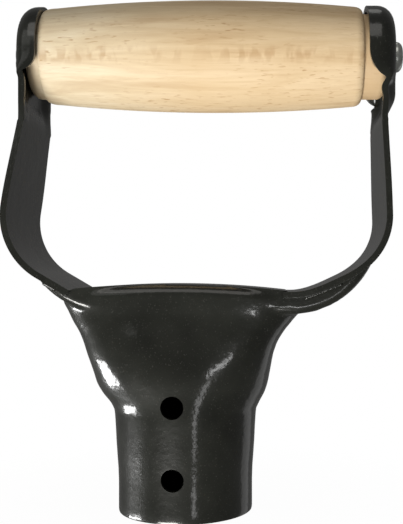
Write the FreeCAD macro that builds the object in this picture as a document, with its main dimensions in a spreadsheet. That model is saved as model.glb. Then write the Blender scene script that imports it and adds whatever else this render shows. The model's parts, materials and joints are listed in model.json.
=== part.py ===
import FreeCAD, Part
import math
import os
import Sketcher

# A steel D-shaped hand grip for the top of a wooden tool shaft.
# Millimetres.  +Z runs up the shaft axis, X runs along the wooden grip and -Y is the
# front.  The origin is the centre of the socket's mouth.

doc = FreeCAD.newDocument("hand_grip")
sheet = doc.addObject("Spreadsheet::Sheet", "Sizes")

SIZES = [
    # socket and fan, pressed from sheet and closed up the back
    ("socket_radius", 20.2, "outside radius of the cylindrical land at the mouth"),
    ("shell_wall", 2.0, "sheet thickness of the socket shell"),
    ("land_height", 9.0, "height of the cylindrical land above the mouth"),
    ("waist_radius", 21.5, "outside radius where the socket stops tapering"),
    ("waist_height", 31.0, "height where the round socket ends"),
    ("shoulder_half_width", 25.6, "half width just above the shoulder"),
    ("shoulder_height", 38.5, "height of the top of the shoulder"),
    ("fan_half_width", 29.2, "half width half way up the fan"),
    ("fan_height", 51.5, "height half way up the fan"),
    ("bridge_half_width", 34.0, "half width of the fan under the bridge"),
    ("bridge_height", 60.0, "height where the fan reaches that width"),
    ("waist_squareness", 2.0, "exponent of the level outline at the waist: 2 is round"),
    ("fan_squareness", 2.4, "exponent of the level outline half way up the fan"),
    ("bridge_squareness", 3.0, "exponent of the level outline under the bridge"),
    ("lid_squareness", 3.6, "exponent of the level outline at the bridge's crown"),
    ("fan_setback", 1.0, "how far the fan's faces lie inside the arms' edges"),
    ("lid_height", 68.3, "height of the bridge's crown"),
    # arms, bent from strip
    ("arm_sheet", 1.8, "sheet thickness of the arms"),
    ("arm_width", 38.0, "width of the arms along Y"),
    ("left_dip_reach", 32.5, "X of the joint between bridge and left arm"),
    ("left_dip_height", 65.0, "height of the left arm's underside there"),
    ("left_corner_offset", 4.5, "how far the left corner lies outside the left cup's face"),
    ("left_corner_height", 77.2, "height of the left corner before rounding"),
    ("left_corner_radius", 20.8, "outside bend radius of the left corner"),
    ("left_neck_inset", 1.8, "how far the left neck lies inside the left cup's face"),
    ("left_cup_reach", 48.7, "X of the outside face of the left cup"),
    ("left_cup_depth", 6.4, "how far the left cup's skirt covers the grip"),
    ("right_dip_reach", 32.0, "X of the joint between bridge and right arm"),
    ("right_dip_height", 64.3, "height of the right arm's underside there"),
    ("right_corner_offset", -1.5, "how far the right corner lies outside the right cup's face"),
    ("right_corner_height", 74.7, "height of the right corner before rounding"),
    ("right_corner_radius", 19.0, "outside bend radius of the right corner"),
    ("right_neck_inset", 3.0, "how far the right neck lies inside the right cup's face"),
    ("right_cup_reach", 62.8, "X of the outside face of the right cup"),
    ("right_cup_depth", 8.2, "how far the right cup's skirt covers the grip"),
    ("neck_drop", 20.5, "how far the necks lie below the grip's axis"),
    ("joggle_drop", 14.6, "how far the top of the joggle lies below the axis"),
    ("joggle_radius", 8.0, "bend radius of the joggle"),
    ("taper_drop", 42.0, "how far below the axis the arms start to narrow"),
    # ears of the shell that carry the arms
    ("ear_setback", 3.0, "how far the ears' faces lie inside the arms' edges"),
    ("left_ear_root", 60.2, "height where the left ear leaves the fan"),
    ("left_ear_belly_inset", 9.7, "from the left cup's face in to a point under the left ear"),
    ("left_ear_belly_height", 65.6, "height of that point"),
    ("left_ear_inset", 4.1, "from the left cup's face in to the left ear's tip"),
    ("left_ear_tip_height", 73.8, "height of the left ear's tip"),
    ("right_ear_root", 59.4, "height where the right ear leaves the fan"),
    ("right_ear_belly_inset", 15.8, "from the right cup's face in to a point under the right ear"),
    ("right_ear_belly_height", 64.4, "height of that point"),
    ("right_ear_inset", 6.4, "from the right cup's face in to the right ear's tip"),
    ("right_ear_tip_height", 77.2, "height of the right ear's tip"),
    # cups
    ("grip_height", 137.4, "height of the grip's axis"),
    ("cup_radius", 15.6, "outside radius of the cups"),
    ("cup_round", 5.0, "outside corner radius of the cups"),
    ("left_skirt_drop", 7.0, "how far below the axis the left skirt ends"),
    ("right_skirt_drop", 9.6, "how far below the axis the right skirt ends"),
    ("skirt_round", 6.5, "radius of the curve that ends each skirt"),
    # wooden grip
    ("barrel_radius", 16.7, "largest radius of the barrel"),
    ("barrel_centre", 8.9, "X of the largest radius"),
    ("barrel_sweep", 480.0, "radius of the barrel's long curve"),
    ("left_shoulder_inset", 6.5, "from the left cup's face in to the barrel's left end"),
    ("left_round", 3.6, "length of the left round-over"),
    ("left_shoulder_radius", 13.2, "radius at the left shoulder's foot"),
    ("right_shoulder_inset", 9.4, "from the right cup's face in to the barrel's right end"),
    ("right_round", 2.8, "length of the right round-over"),
    ("right_shoulder_radius", 13.2, "radius at the right shoulder's foot"),
    ("spigot_radius", 12.7, "radius of the spigots inside the cups"),
    ("spigot_round", 2.5, "rounding of the spigots' ends"),
    ("end_clearance", 0.4, "gap between each spigot and its cup"),
    # rivet
    ("rivet_radius", 2.5, "radius of the rivet's shank"),
    ("bore_clearance", 0.06, "radial running clearance of the grip on the rivet"),
    ("head_radius", 4.6, "radius of the rivet's head"),
    ("head_height", 3.2, "height of the rivet's head"),
    ("head_round", 1.6, "round-over of the rivet's head"),
    ("tail_radius", 3.9, "radius of the peened tail"),
    ("tail_height", 1.5, "height of the peened tail"),
    ("tail_round", 1.0, "round-over of the peened tail"),
    ("burr_radius", 6.0, "outside radius of the washer under the tail"),
    ("burr_sheet", 1.0, "thickness of that washer"),
    # fixing holes and welds
    ("hole_radius", 3.3, "radius of the two fixing holes"),
    ("lower_hole_height", 12.5, "height of the lower fixing hole"),
    ("upper_hole_height", 33.3, "height of the upper fixing hole"),
    ("hole_offset", -2.0, "X of the two fixing holes"),
    ("weld_radius", 1.3, "radius of the weld beads"),
    ("weld_margin", 1.6, "how far the beads stop short at both ends"),
    ("seam_gap", 1.6, "width of the shell's seam up the back"),
    ("seam_proud", 0.4, "how far the seam's weld stands proud"),
]
for row, (alias, value, note) in enumerate(SIZES, start=1):
    sheet.set("A%d" % row, alias)
    sheet.set("B%d" % row, str(value))
    sheet.set("C%d" % row, note)
    sheet.setAlias("B%d" % row, alias)
doc.recompute()

X_AXIS = FreeCAD.Vector(1, 0, 0)
Y_AXIS = FreeCAD.Vector(0, 1, 0)
LEFT = -1
RIGHT = 1
SIDES = {"left": LEFT, "right": RIGHT}
FAR = 200.0          # reaches past the whole object
SECTION_POINTS = 32  # points round each section of the shell
SAME_PLACE = 0.01    # two sizes closer than this are the same


def size(alias):
    """The value that the sheet holds for one size."""
    return float(sheet.get(alias))


def side_size(side, alias):
    """The value of a size that differs from left to right."""
    return size("%s_%s" % (side, alias))


def vec(x, z, y=0.0):
    """A point given by its X and its height."""
    return FreeCAD.Vector(x, y, z)


def add_shape(name, shape):
    """Put a finished shape into the document as one sub-part."""
    item = doc.addObject("Part::Feature", name)
    item.Label = name
    item.Shape = shape
    item.Placement = FreeCAD.Placement()
    return item


def rounded_path(corners):
    """Edges along a row of (point, bend radius), straight between the bends."""
    edges = []
    last = corners[0][0]
    for index in range(1, len(corners) - 1):
        corner, radius = corners[index]
        before = (corners[index - 1][0] - corner).normalize()
        after = (corners[index + 1][0] - corner).normalize()
        half_turn = (math.pi - before.getAngle(after)) / 2
        reach = radius * math.tan(half_turn)
        start = corner + before * reach
        end = corner + after * reach
        towards_centre = (before + after).normalize()
        middle = corner + towards_centre * (radius / math.cos(half_turn) - radius)
        edges.append(Part.makeLine(last, start))
        edges.append(Part.Arc(start, middle, end).toShape())
        last = end
    edges.append(Part.makeLine(last, corners[-1][0]))
    return edges


def arm_corners(side):
    """The line of an arm's outside, from the bridge to the top of its cup."""
    sign = SIDES[side]
    axis = size("grip_height")
    joggle = size("joggle_radius")
    face = side_size(side, "cup_reach")
    corner_reach = face + side_size(side, "corner_offset")
    neck_reach = face - side_size(side, "neck_inset")
    neck = vec(sign * neck_reach, axis - size("neck_drop"))
    cup_foot = vec(sign * face, axis - size("joggle_drop"))
    cup_top = vec(sign * face, axis + size("cup_radius"))
    dip = vec(sign * side_size(side, "dip_reach"), side_size(side, "dip_height"))
    corner = vec(sign * corner_reach, side_size(side, "corner_height"))
    return [
        (dip, 0.0),
        (corner, side_size(side, "corner_radius")),
        (neck, joggle),
        (cup_foot, joggle),
        (cup_top, 0.0),
    ]


def arm_strip(side):
    """The bent strip of one arm at its full width."""
    sign = SIDES[side]
    outside = Part.Wire(rounded_path(arm_corners(side)))
    corners = arm_corners(side)
    inner = []
    sheet_metal = size("arm_sheet")
    for index, (point, radius) in enumerate(corners):
        directions = []
        if index > 0:
            directions.append((point - corners[index - 1][0]).normalize())
        if index < len(corners) - 1:
            directions.append((corners[index + 1][0] - point).normalize())
        normals = [FreeCAD.Vector(-d.z * sign, 0, d.x * sign) for d in directions]
        mean = sum(normals, FreeCAD.Vector()).normalize()
        shift = mean * (sheet_metal / mean.dot(normals[0]))
        turn = 1
        if len(directions) == 2:
            turn = 1 if (directions[1].cross(directions[0])).y * sign < 0 else -1
        new_radius = radius + turn * sheet_metal if radius else 0.0
        inner.append((point + shift, new_radius))
    # the end at the bridge stands upright, to meet the bridge's side squarely
    dip = corners[0][0]
    run = (corners[1][0] - dip).normalize()
    inner[0] = (vec(dip.x, dip.z + sheet_metal / abs(run.x)), 0.0)
    inside = rounded_path(inner)
    first = Part.makeLine(corners[0][0], inner[0][0])
    last = Part.makeLine(corners[-1][0], inner[-1][0])
    wire = Part.Wire(Part.__sortEdges__(list(outside.Edges) + inside + [first, last]))
    face = Part.Face(wire)
    width = size("arm_width")
    face.translate(Y_AXIS * (-width / 2))
    return face.extrude(Y_AXIS * width)


def arm_outline():
    """What the arms keep when looked at along X: a band with a round top."""
    axis = size("grip_height")
    half = size("arm_width") / 2
    neck = size("cup_radius")
    foot = FreeCAD.Vector(-FAR, -half, 0)
    taper_foot = FreeCAD.Vector(-FAR, -half, axis - size("taper_drop"))
    taper_top = FreeCAD.Vector(-FAR, -neck, axis - size("neck_drop"))
    round_foot = FreeCAD.Vector(-FAR, -neck, axis)
    round_top = FreeCAD.Vector(-FAR, 0, axis + neck)

    def mirror(point):
        return FreeCAD.Vector(point.x, -point.y, point.z)

    edges = [
        Part.makeLine(foot, taper_foot),
        Part.makeLine(taper_foot, taper_top),
        Part.makeLine(taper_top, round_foot),
        Part.Arc(round_foot, round_top, mirror(round_foot)).toShape(),
        Part.makeLine(mirror(round_foot), mirror(taper_top)),
        Part.makeLine(mirror(taper_top), mirror(taper_foot)),
        Part.makeLine(mirror(taper_foot), mirror(foot)),
        Part.makeLine(mirror(foot), foot),
    ]
    return Part.Face(Part.Wire(edges)).extrude(X_AXIS * (2 * FAR))


def dish_profile(side, corner_only):
    """A level outline through one side of a cup: its sheet, or what its bend cuts off."""
    sign = SIDES[side]
    face = side_size(side, "cup_reach")
    sheet_metal = size("arm_sheet")
    radius = size("cup_radius")
    bend = size("cup_round")
    rim = face - side_size(side, "cup_depth")
    slant = math.sqrt(0.5)

    def at(x, r):
        return FreeCAD.Vector(sign * x, r, size("grip_height"))

    def bend_arc(start, end, bend_radius):
        middle = at(
            face - bend + bend_radius * slant, radius - bend + bend_radius * slant
        )
        return Part.Arc(start, middle, end).toShape()

    outer_start = at(face, radius - bend)
    outer_end = at(face - bend, radius)
    outer_bend = bend_arc(outer_start, outer_end, bend)
    if corner_only:
        past = radius + bend
        beyond = face + bend
        edges = [
            outer_bend,
            Part.makeLine(outer_end, at(face - bend, past)),
            Part.makeLine(at(face - bend, past), at(beyond, past)),
            Part.makeLine(at(beyond, past), at(beyond, radius - bend)),
            Part.makeLine(at(beyond, radius - bend), outer_start),
        ]
        return Part.Face(Part.Wire(edges))
    inner_start = at(face - sheet_metal, radius - bend)
    inner_end = at(face - bend, radius - sheet_metal)
    edges = [
        Part.makeLine(at(face - sheet_metal, 0), at(face, 0)),
        Part.makeLine(at(face, 0), outer_start),
        outer_bend,
        Part.makeLine(outer_end, at(rim, radius)),
        Part.makeLine(at(rim, radius), at(rim, radius - sheet_metal)),
        Part.makeLine(at(rim, radius - sheet_metal), inner_end),
        bend_arc(inner_end, inner_start, bend - sheet_metal),
        Part.makeLine(inner_start, at(face - sheet_metal, 0)),
    ]
    return Part.Face(Part.Wire(edges))


def arch(profile, drop):
    """Turn a level outline over the axis, and run both its ends on along the drop."""
    axis_point = vec(0, size("grip_height"))
    solid = profile.revolve(axis_point, X_AXIS, 180)
    mirrored = profile.mirror(axis_point, Y_AXIS)
    for face in (profile, mirrored):
        solid = solid.fuse(face.extrude(drop))
    return solid


def cup(side):
    """A dish that arches over the grip's end, with a skirt that runs out below it."""
    sign = SIDES[side]
    axis = size("grip_height")
    face = side_size(side, "cup_reach")
    rim = face - side_size(side, "cup_depth")
    drop = side_size(side, "skirt_drop")
    dish = arch(dish_profile(side, False), FreeCAD.Vector(0, 0, -drop))
    slant = math.sqrt(0.5)
    stop = axis - drop
    curve = size("skirt_round")
    inside = face - size("arm_sheet")
    curve_start = vec(sign * rim, stop + curve)
    bulge = vec(sign * (rim + (1 - slant) * (inside - rim)), stop + (1 - slant) * curve)
    curve_end = vec(sign * inside, stop)
    edges = [
        Part.makeLine(vec(sign * rim, axis + FAR), curve_start),
        Part.Arc(curve_start, bulge, curve_end).toShape(),
        Part.makeLine(curve_end, vec(sign * FAR, stop)),
        Part.makeLine(vec(sign * FAR, stop), vec(sign * FAR, axis + FAR)),
        Part.makeLine(vec(sign * FAR, axis + FAR), vec(sign * rim, axis + FAR)),
    ]
    keep = Part.Face(Part.Wire(edges))
    keep.translate(Y_AXIS * (-FAR / 2))
    return dish.common(keep.extrude(Y_AXIS * FAR))


def make_arm(side):
    """One arm: strip, narrowed to the cup, with the cup drawn from its end."""
    drop = side_size(side, "skirt_drop")
    fade = FreeCAD.Vector(SIDES[side] * size("cup_round"), 0, -drop)
    corner = arch(dish_profile(side, True), fade)
    strip = arm_strip(side).common(arm_outline()).cut(corner)
    body = strip.fuse(cup(side))
    bore = Part.makeCylinder(
        size("rivet_radius"), 2 * FAR, vec(-FAR, size("grip_height")), X_AXIS
    )
    return add_shape(side + "_arm", body.cut(bore).removeSplitter())


def section(height, half_width, half_depth, squareness):
    """A closed level curve, between an ellipse (2) and a rounded rectangle (4)."""
    points = []
    for index in range(SECTION_POINTS):
        turn = 2 * math.pi * index / SECTION_POINTS
        across = abs(math.cos(turn) / half_width) ** squareness
        along = abs(math.sin(turn) / half_depth) ** squareness
        reach = (across + along) ** (-1 / squareness)
        points.append(vec(reach * math.cos(turn), height, reach * math.sin(turn)))
    curve = Part.BSplineCurve()
    steps = [float(index) for index in range(SECTION_POINTS + 1)]
    curve.interpolate(Points=points, PeriodicFlag=True, Parameters=steps)
    return Part.Wire(curve.toShape())


def fan_solid(inset):
    """The solid inside the fan's surface, moved in by the inset."""
    depth = size("arm_width") / 2 - size("fan_setback")
    waist = size("waist_radius")
    hidden = size("shell_wall") / 2
    above = size("lid_height") + size("shell_wall")
    rows = [
        (size("waist_height") - 2 * hidden, waist - hidden, waist - hidden, "waist"),
        (size("shoulder_height"), size("shoulder_half_width"), waist, "waist"),
        (size("fan_height"), size("fan_half_width"), (waist + depth) / 2, "fan"),
        (size("bridge_height"), size("bridge_half_width"), depth, "bridge"),
        (above, size("bridge_half_width") + 2 * hidden, depth, "lid"),
    ]
    wires = []
    for height, half_width, half_depth, level in rows:
        squareness = size(level + "_squareness")
        wires.append(section(height, half_width - inset, half_depth - inset, squareness))
    return Part.makeLoft(wires, True, False)


def socket_solid(inset):
    """The round socket: a cylindrical land and a cone up to the waist."""
    land = size("socket_radius") - inset
    waist = size("waist_radius") - inset
    rise = size("waist_height") - size("land_height")
    low = Part.makeCylinder(land, size("land_height") + inset, vec(0, -inset))
    high = Part.makeCone(land, waist, rise, vec(0, size("land_height")))
    return low.fuse(high)


def lower_run(side):
    """The arm's outside from the bridge round the corner to the neck."""
    return rounded_path(arm_corners(side)[:2] + [(arm_corners(side)[2][0], 0.0)])


def above_bridge(drop):
    """Everything over the bridge and inside the arms, lowered by the drop."""
    left = arm_corners("left")
    right = arm_corners("right")
    sheet_metal = size("arm_sheet")

    def rise(corners):
        run = (corners[1][0] - corners[0][0]).normalize()
        return sheet_metal / abs(run.x)

    left_dip = left[0][0]
    right_dip = right[0][0]
    left_neck = left[2][0]
    right_neck = right[2][0]
    left_top = vec(left_dip.x, left_dip.z + rise(left))
    right_top = vec(right_dip.x, right_dip.z + rise(right))
    crown = vec(0, size("lid_height"))
    edges = lower_run("left") + lower_run("right")
    edges += [
        Part.makeLine(left_dip, left_top),
        Part.Arc(left_top, crown, right_top).toShape(),
        Part.makeLine(right_top, right_dip),
        Part.makeLine(right_neck, vec(right_neck.x, FAR)),
        Part.makeLine(vec(right_neck.x, FAR), vec(left_neck.x, FAR)),
        Part.makeLine(vec(left_neck.x, FAR), left_neck),
    ]
    face = Part.Face(Part.Wire(Part.__sortEdges__(edges)))
    face.translate(FreeCAD.Vector(0, -FAR / 2, -drop))
    return face.extrude(Y_AXIS * FAR)


def ear_solid(side, inset):
    """The hollow bulge under an arm's lower run, moved in by the inset."""
    sign = SIDES[side]
    depth = size("arm_width") - 2 * size("ear_setback") - 2 * inset
    face = side_size(side, "cup_reach")
    belly_reach = face - side_size(side, "ear_belly_inset")
    tip_reach = face - side_size(side, "ear_inset")
    root = vec(sign * side_size(side, "dip_reach"), side_size(side, "ear_root"))
    belly = vec(sign * belly_reach, side_size(side, "ear_belly_height"))
    tip = vec(sign * tip_reach, side_size(side, "ear_tip_height"))
    round_under = Part.Circle(root, belly, tip)
    shrink = (round_under.Radius - inset) / round_under.Radius
    centre = round_under.Center
    root, belly, tip = [centre + (point - centre) * shrink for point in (root, belly, tip)]
    edges = [
        Part.makeLine(vec(0, FAR), vec(0, root.z)),
        Part.makeLine(vec(0, root.z), root),
        Part.Arc(root, belly, tip).toShape(),
        Part.makeLine(tip, vec(tip.x, FAR)),
        Part.makeLine(vec(tip.x, FAR), vec(0, FAR)),
    ]
    outline = Part.Face(Part.Wire(edges))
    outline.translate(Y_AXIS * (-depth / 2))
    return outline.extrude(Y_AXIS * depth)


def shell_solid(inset):
    """Socket, fan and ears as one solid, moved in by the inset."""
    solid = socket_solid(inset).fuse(fan_solid(inset))
    for side in SIDES:
        solid = solid.fuse(ear_solid(side, inset))
    return solid.cut(above_bridge(inset))


def seam_box():
    """The narrow space of the seam up the socket's back."""
    gap = size("seam_gap")
    corner = FreeCAD.Vector(-gap / 2, 0, 0)
    return Part.makeBox(gap, FAR, size("waist_height"), corner)


def make_shell():
    """The pressed shell: hollow, with two fixing holes and a seam up its back."""
    body = shell_solid(0.0).cut(shell_solid(size("shell_wall")))
    for level in ("lower_hole_height", "upper_hole_height"):
        start = vec(size("hole_offset"), size(level))
        hole = Part.makeCylinder(size("hole_radius"), FAR, start, -Y_AXIS)
        body = body.cut(hole)
    return add_shape("socket_shell", body.cut(seam_box()))


def make_seam_weld():
    """The weld that closes the seam, standing a little proud of the socket."""
    proud = socket_solid(-size("seam_proud")).common(seam_box())
    over = vec(0, size("waist_height"))
    trimmed = proud.cut(Part.makeBox(FAR, FAR, FAR, over - FreeCAD.Vector(FAR, FAR, 0) / 2))
    return add_shape("seam_weld", trimmed.cut(shell_solid(size("shell_wall"))))


def make_arm_weld(side, edge, shell, arm):
    """The bead under one edge of an arm, where it lies flat on its ear."""
    straight = lower_run(side)[0]
    dip = straight.Vertexes[0].Point
    bend = straight.Vertexes[1].Point
    run = (bend - dip).normalize()
    begin = size("bridge_half_width") + size("weld_margin")
    finish = abs(bend.x) - size("weld_margin")
    start = dip + run * ((begin - abs(dip.x)) / abs(run.x))
    depth = size("arm_width") / 2 - size("ear_setback")
    start.y = depth * {"front": -1, "rear": 1}[edge]
    length = (finish - begin) / abs(run.x)
    bead = Part.makeCylinder(size("weld_radius"), length, start, run)
    bead = bead.cut(arm.Shape).cut(shell.Shape)
    return add_shape("%s_%s_weld" % (side, edge), bead)


def new_body(name):
    """An empty body that stands on the grip's axis."""
    body = doc.addObject("PartDesign::Body", name)
    body.Label = name
    body.setExpression("Placement.Base.z", "Sizes.grip_height")
    return body


def origin_plane(body, role):
    """One of a body's own origin planes."""
    return [item for item in body.Origin.OriginFeatures if item.Role == role][0]


def value_of(expression):
    """The number that an expression over the sheet's aliases comes to."""
    cell = "Z1"
    sheet.set(cell, "=" + expression)
    doc.recompute()
    number = float(sheet.get(cell))
    sheet.clear(cell)
    return number


def bound(expression):
    """The same expression, written as other objects of the document read it."""
    words = []
    for word in expression.split():
        words.append("Sizes." + word if word[0].isalpha() else word)
    return " ".join(words)


def place_point(sketch, geometry, end, x_text, r_text):
    """Tie one end of a sketch's edge to its X and its distance from the axis."""
    for kind, text, axis in (("DistanceX", x_text, -2), ("DistanceY", r_text, -1)):
        if text == "0":
            sketch.addConstraint(Sketcher.Constraint("PointOnObject", geometry, end, axis))
            continue
        number = value_of(text)
        index = sketch.addConstraint(
            Sketcher.Constraint(kind, -1, 1, geometry, end, number)
        )
        sketch.setExpression("Constraints[%d]" % index, bound(text))


def turned(body, points):
    """Turn a closed row of corner points (X, radius) about the grip's axis."""
    sketch = body.newObject("Sketcher::SketchObject", body.Name + "_profile")
    sketch.AttachmentSupport = [(origin_plane(body, "XZ_Plane"), "")]
    sketch.MapMode = "FlatFace"
    flat = [FreeCAD.Vector(value_of(x), value_of(r), 0) for x, r in points]
    count = len(flat)
    for index in range(count):
        sketch.addGeometry(Part.LineSegment(flat[index], flat[(index + 1) % count]))
    for index in range(count):
        following = (index + 1) % count
        sketch.addConstraint(Sketcher.Constraint("Coincident", index, 2, following, 1))
    for index, (x, r) in enumerate(points):
        place_point(sketch, index, 1, x, r)
    turning = body.newObject("PartDesign::Revolution", body.Name + "_turning")
    turning.Profile = sketch
    turning.ReferenceAxis = (sketch, ["H_Axis"])
    turning.Angle = 360.0
    doc.recompute()
    return turning


def round_edges(body, base, radius_alias, rings):
    """Round the circular edges that lie at the given X and radius."""
    names = []
    for number, edge in enumerate(base.Shape.Edges, start=1):
        if not isinstance(edge.Curve, Part.Circle):
            continue
        for x, radius in rings:
            near_x = abs(edge.Curve.Center.x - x) < SAME_PLACE
            if near_x and abs(edge.Curve.Radius - radius) < SAME_PLACE:
                names.append("Edge%d" % number)
    fillet = body.newObject("PartDesign::Fillet", "%s_%s" % (body.Name, radius_alias))
    fillet.Base = (base, names)
    fillet.setExpression("Radius", "Sizes." + radius_alias)
    doc.recompute()
    return fillet


def make_rivet():
    """The rivet through the grip: a low round head at the right, peened at the left."""
    body = new_body("rivet")
    tail_face = "0 - left_cup_reach - burr_sheet"
    points = [
        (tail_face + " - tail_height", "0"),
        (tail_face + " - tail_height", "tail_radius"),
        (tail_face, "tail_radius"),
        (tail_face, "rivet_radius"),
        ("right_cup_reach", "rivet_radius"),
        ("right_cup_reach", "head_radius"),
        ("right_cup_reach + head_height", "head_radius"),
        ("right_cup_reach + head_height", "0"),
    ]
    turning = turned(body, points)
    head_x = size("right_cup_reach") + size("head_height")
    rounded = round_edges(body, turning, "head_round", [(head_x, size("head_radius"))])
    tail_x = value_of(points[0][0])
    round_edges(body, rounded, "tail_round", [(tail_x, size("tail_radius"))])


def make_burr():
    """The washer that the rivet's tail is peened over."""
    body = new_body("rivet_burr")
    points = [
        ("0 - left_cup_reach - burr_sheet", "rivet_radius"),
        ("0 - left_cup_reach - burr_sheet", "burr_radius"),
        ("0 - left_cup_reach", "burr_radius"),
        ("0 - left_cup_reach", "rivet_radius"),
    ]
    turned(body, points)


def make_grip():
    """The turned wooden grip: barrel, round-overs, a spigot in each cup, and its bore."""
    body = new_body("grip")
    sketch = body.newObject("Sketcher::SketchObject", "grip_profile")
    sketch.AttachmentSupport = [(origin_plane(body, "XZ_Plane"), "")]
    sketch.MapMode = "FlatFace"
    bore = "rivet_radius + bore_clearance"
    left_end = "0 - left_cup_reach + arm_sheet + end_clearance"
    right_end = "right_cup_reach - arm_sheet - end_clearance"
    left_shoulder = "left_shoulder_inset - left_cup_reach"
    right_shoulder = "right_cup_reach - right_shoulder_inset"
    line_points = [
        (right_shoulder, "right_shoulder_radius"),
        (right_shoulder, "spigot_radius"),
        (right_end, "spigot_radius"),
        (right_end, bore),
        (left_end, bore),
        (left_end, "spigot_radius"),
        (left_shoulder, "spigot_radius"),
        (left_shoulder, "left_shoulder_radius"),
    ]
    left_barrel_end = left_shoulder + " + left_round"
    right_barrel_end = right_shoulder + " - right_round"
    flat = [FreeCAD.Vector(value_of(x), value_of(r), 0) for x, r in line_points]
    last_line = len(flat) - 2
    for index in range(last_line + 1):
        sketch.addGeometry(Part.LineSegment(flat[index], flat[index + 1]))
    sweep = size("barrel_sweep")
    centre = FreeCAD.Vector(size("barrel_centre"), size("barrel_radius") - sweep, 0)

    def on_barrel(x):
        rise = math.sqrt(sweep ** 2 - (x - centre.x) ** 2)
        return FreeCAD.Vector(x, centre.y + rise, 0)

    ends = {
        "left": on_barrel(value_of(left_barrel_end)),
        "right": on_barrel(value_of(right_barrel_end)),
    }
    barrel = sketch.addGeometry(
        Part.ArcOfCircle(
            Part.Circle(centre, FreeCAD.Vector(0, 0, 1), sweep),
            math.atan2(ends["right"].y - centre.y, ends["right"].x - centre.x),
            math.atan2(ends["left"].y - centre.y, ends["left"].x - centre.x),
        )
    )
    rounds = {}
    for side, foot in (("left", flat[-1]), ("right", flat[0])):
        start = ends[side]
        outward = (start - centre).normalize()
        chord = foot - start
        radius = -chord.dot(chord) / (2 * chord.dot(outward))
        hub = start - outward * radius
        begin = math.atan2(start.y - hub.y, start.x - hub.x)
        finish = math.atan2(foot.y - hub.y, foot.x - hub.x)
        circle = Part.Circle(hub, FreeCAD.Vector(0, 0, 1), radius)
        low, high = sorted((begin, finish))
        rounds[side] = sketch.addGeometry(Part.ArcOfCircle(circle, low, high))
    for index in range(last_line):
        sketch.addConstraint(Sketcher.Constraint("Coincident", index, 2, index + 1, 1))
    for index in range(last_line + 1):
        place_point(sketch, index, 1, *line_points[index])
    place_point(sketch, last_line, 2, *line_points[-1])
    # an arc runs anticlockwise, so its first end is the right one
    for constraint in (
        Sketcher.Constraint("Coincident", rounds["right"], 1, 0, 1),
        Sketcher.Constraint("Tangent", rounds["right"], 2, barrel, 1),
        Sketcher.Constraint("Tangent", barrel, 2, rounds["left"], 1),
        Sketcher.Constraint("Coincident", rounds["left"], 2, last_line, 2),
    ):
        sketch.addConstraint(constraint)
    radius_index = sketch.addConstraint(Sketcher.Constraint("Radius", barrel, sweep))
    sketch.setExpression("Constraints[%d]" % radius_index, "Sizes.barrel_sweep")
    place_point(sketch, barrel, 3, "barrel_centre", "barrel_radius - barrel_sweep")
    for end, text in ((1, right_barrel_end), (2, left_barrel_end)):
        index = sketch.addConstraint(
            Sketcher.Constraint("DistanceX", -1, 1, barrel, end, value_of(text))
        )
        sketch.setExpression("Constraints[%d]" % index, bound(text))
    turning = body.newObject("PartDesign::Revolution", "grip_turning")
    turning.Profile = sketch
    turning.ReferenceAxis = (sketch, ["H_Axis"])
    turning.Angle = 360.0
    doc.recompute()
    rings = [(value_of(end), size("spigot_radius")) for end in (left_end, right_end)]
    round_edges(body, turning, "spigot_round", rings)


def write_parts():
    """Check every object, then write each sub-part under its own name."""
    doc.recompute()
    for item in doc.Objects:
        if "Invalid" in item.State or "Error" in item.State:
            raise RuntimeError("%s did not build: %s" % (item.Label, item.State))
    kinds = ("PartDesign::Body", "Part::Feature")
    parts = [item for item in doc.Objects if item.TypeId in kinds]
    for item in parts:
        shape = item.Shape
        if shape.isNull() or not shape.isValid() or len(shape.Solids) != 1:
            raise RuntimeError("%s is not one valid solid" % item.Label)
    os.makedirs("parts", exist_ok=True)
    for item in parts:
        item.Shape.exportStep("parts/%s.step" % item.Label)
        print("%-18s %9.1f mm3" % (item.Label, item.Shape.Volume))


shell = make_shell()
make_seam_weld()
for side in SIDES:
    arm = make_arm(side)
    for edge in ("front", "rear"):
        make_arm_weld(side, edge, shell, arm)
make_grip()
make_rivet()
make_burr()
write_parts()
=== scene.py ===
"""A black painted steel D-shaped hand grip with a turned beech bar, dressed for rendering.

Sizes inside the classes are in millimetres; every mesh is written in metres, in the frame
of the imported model: X along the bar, -Y the front, +Z up the shaft axis.
"""

import json
import logging
import math
from dataclasses import dataclass, field
from enum import Enum
from functools import cached_property
from typing import Iterable, Optional, Sequence

import bmesh
import bpy
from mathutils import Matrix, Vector


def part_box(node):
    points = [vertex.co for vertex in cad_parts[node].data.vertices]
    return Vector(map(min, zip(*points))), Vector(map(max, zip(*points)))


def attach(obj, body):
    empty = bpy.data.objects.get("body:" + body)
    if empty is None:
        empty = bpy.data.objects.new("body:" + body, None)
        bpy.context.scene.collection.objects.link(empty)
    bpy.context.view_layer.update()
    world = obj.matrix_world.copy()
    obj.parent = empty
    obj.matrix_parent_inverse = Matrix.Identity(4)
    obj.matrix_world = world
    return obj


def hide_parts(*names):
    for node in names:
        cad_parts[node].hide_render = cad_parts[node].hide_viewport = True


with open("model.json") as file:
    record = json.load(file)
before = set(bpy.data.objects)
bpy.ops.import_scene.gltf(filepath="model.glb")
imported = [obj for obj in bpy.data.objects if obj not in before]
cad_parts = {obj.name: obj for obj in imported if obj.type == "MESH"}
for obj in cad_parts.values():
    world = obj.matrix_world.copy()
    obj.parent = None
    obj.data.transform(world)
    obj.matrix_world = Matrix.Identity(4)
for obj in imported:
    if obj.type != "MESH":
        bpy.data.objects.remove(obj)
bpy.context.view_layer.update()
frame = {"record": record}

MM = 0.001
WHITE = (1.0, 1.0, 1.0, 1.0)
LOG = logging.getLogger("hand_grip")
FULL_SAG = 6.75  # makes the deepest point of share * (1 - share) ** 2 equal to 1

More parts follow.
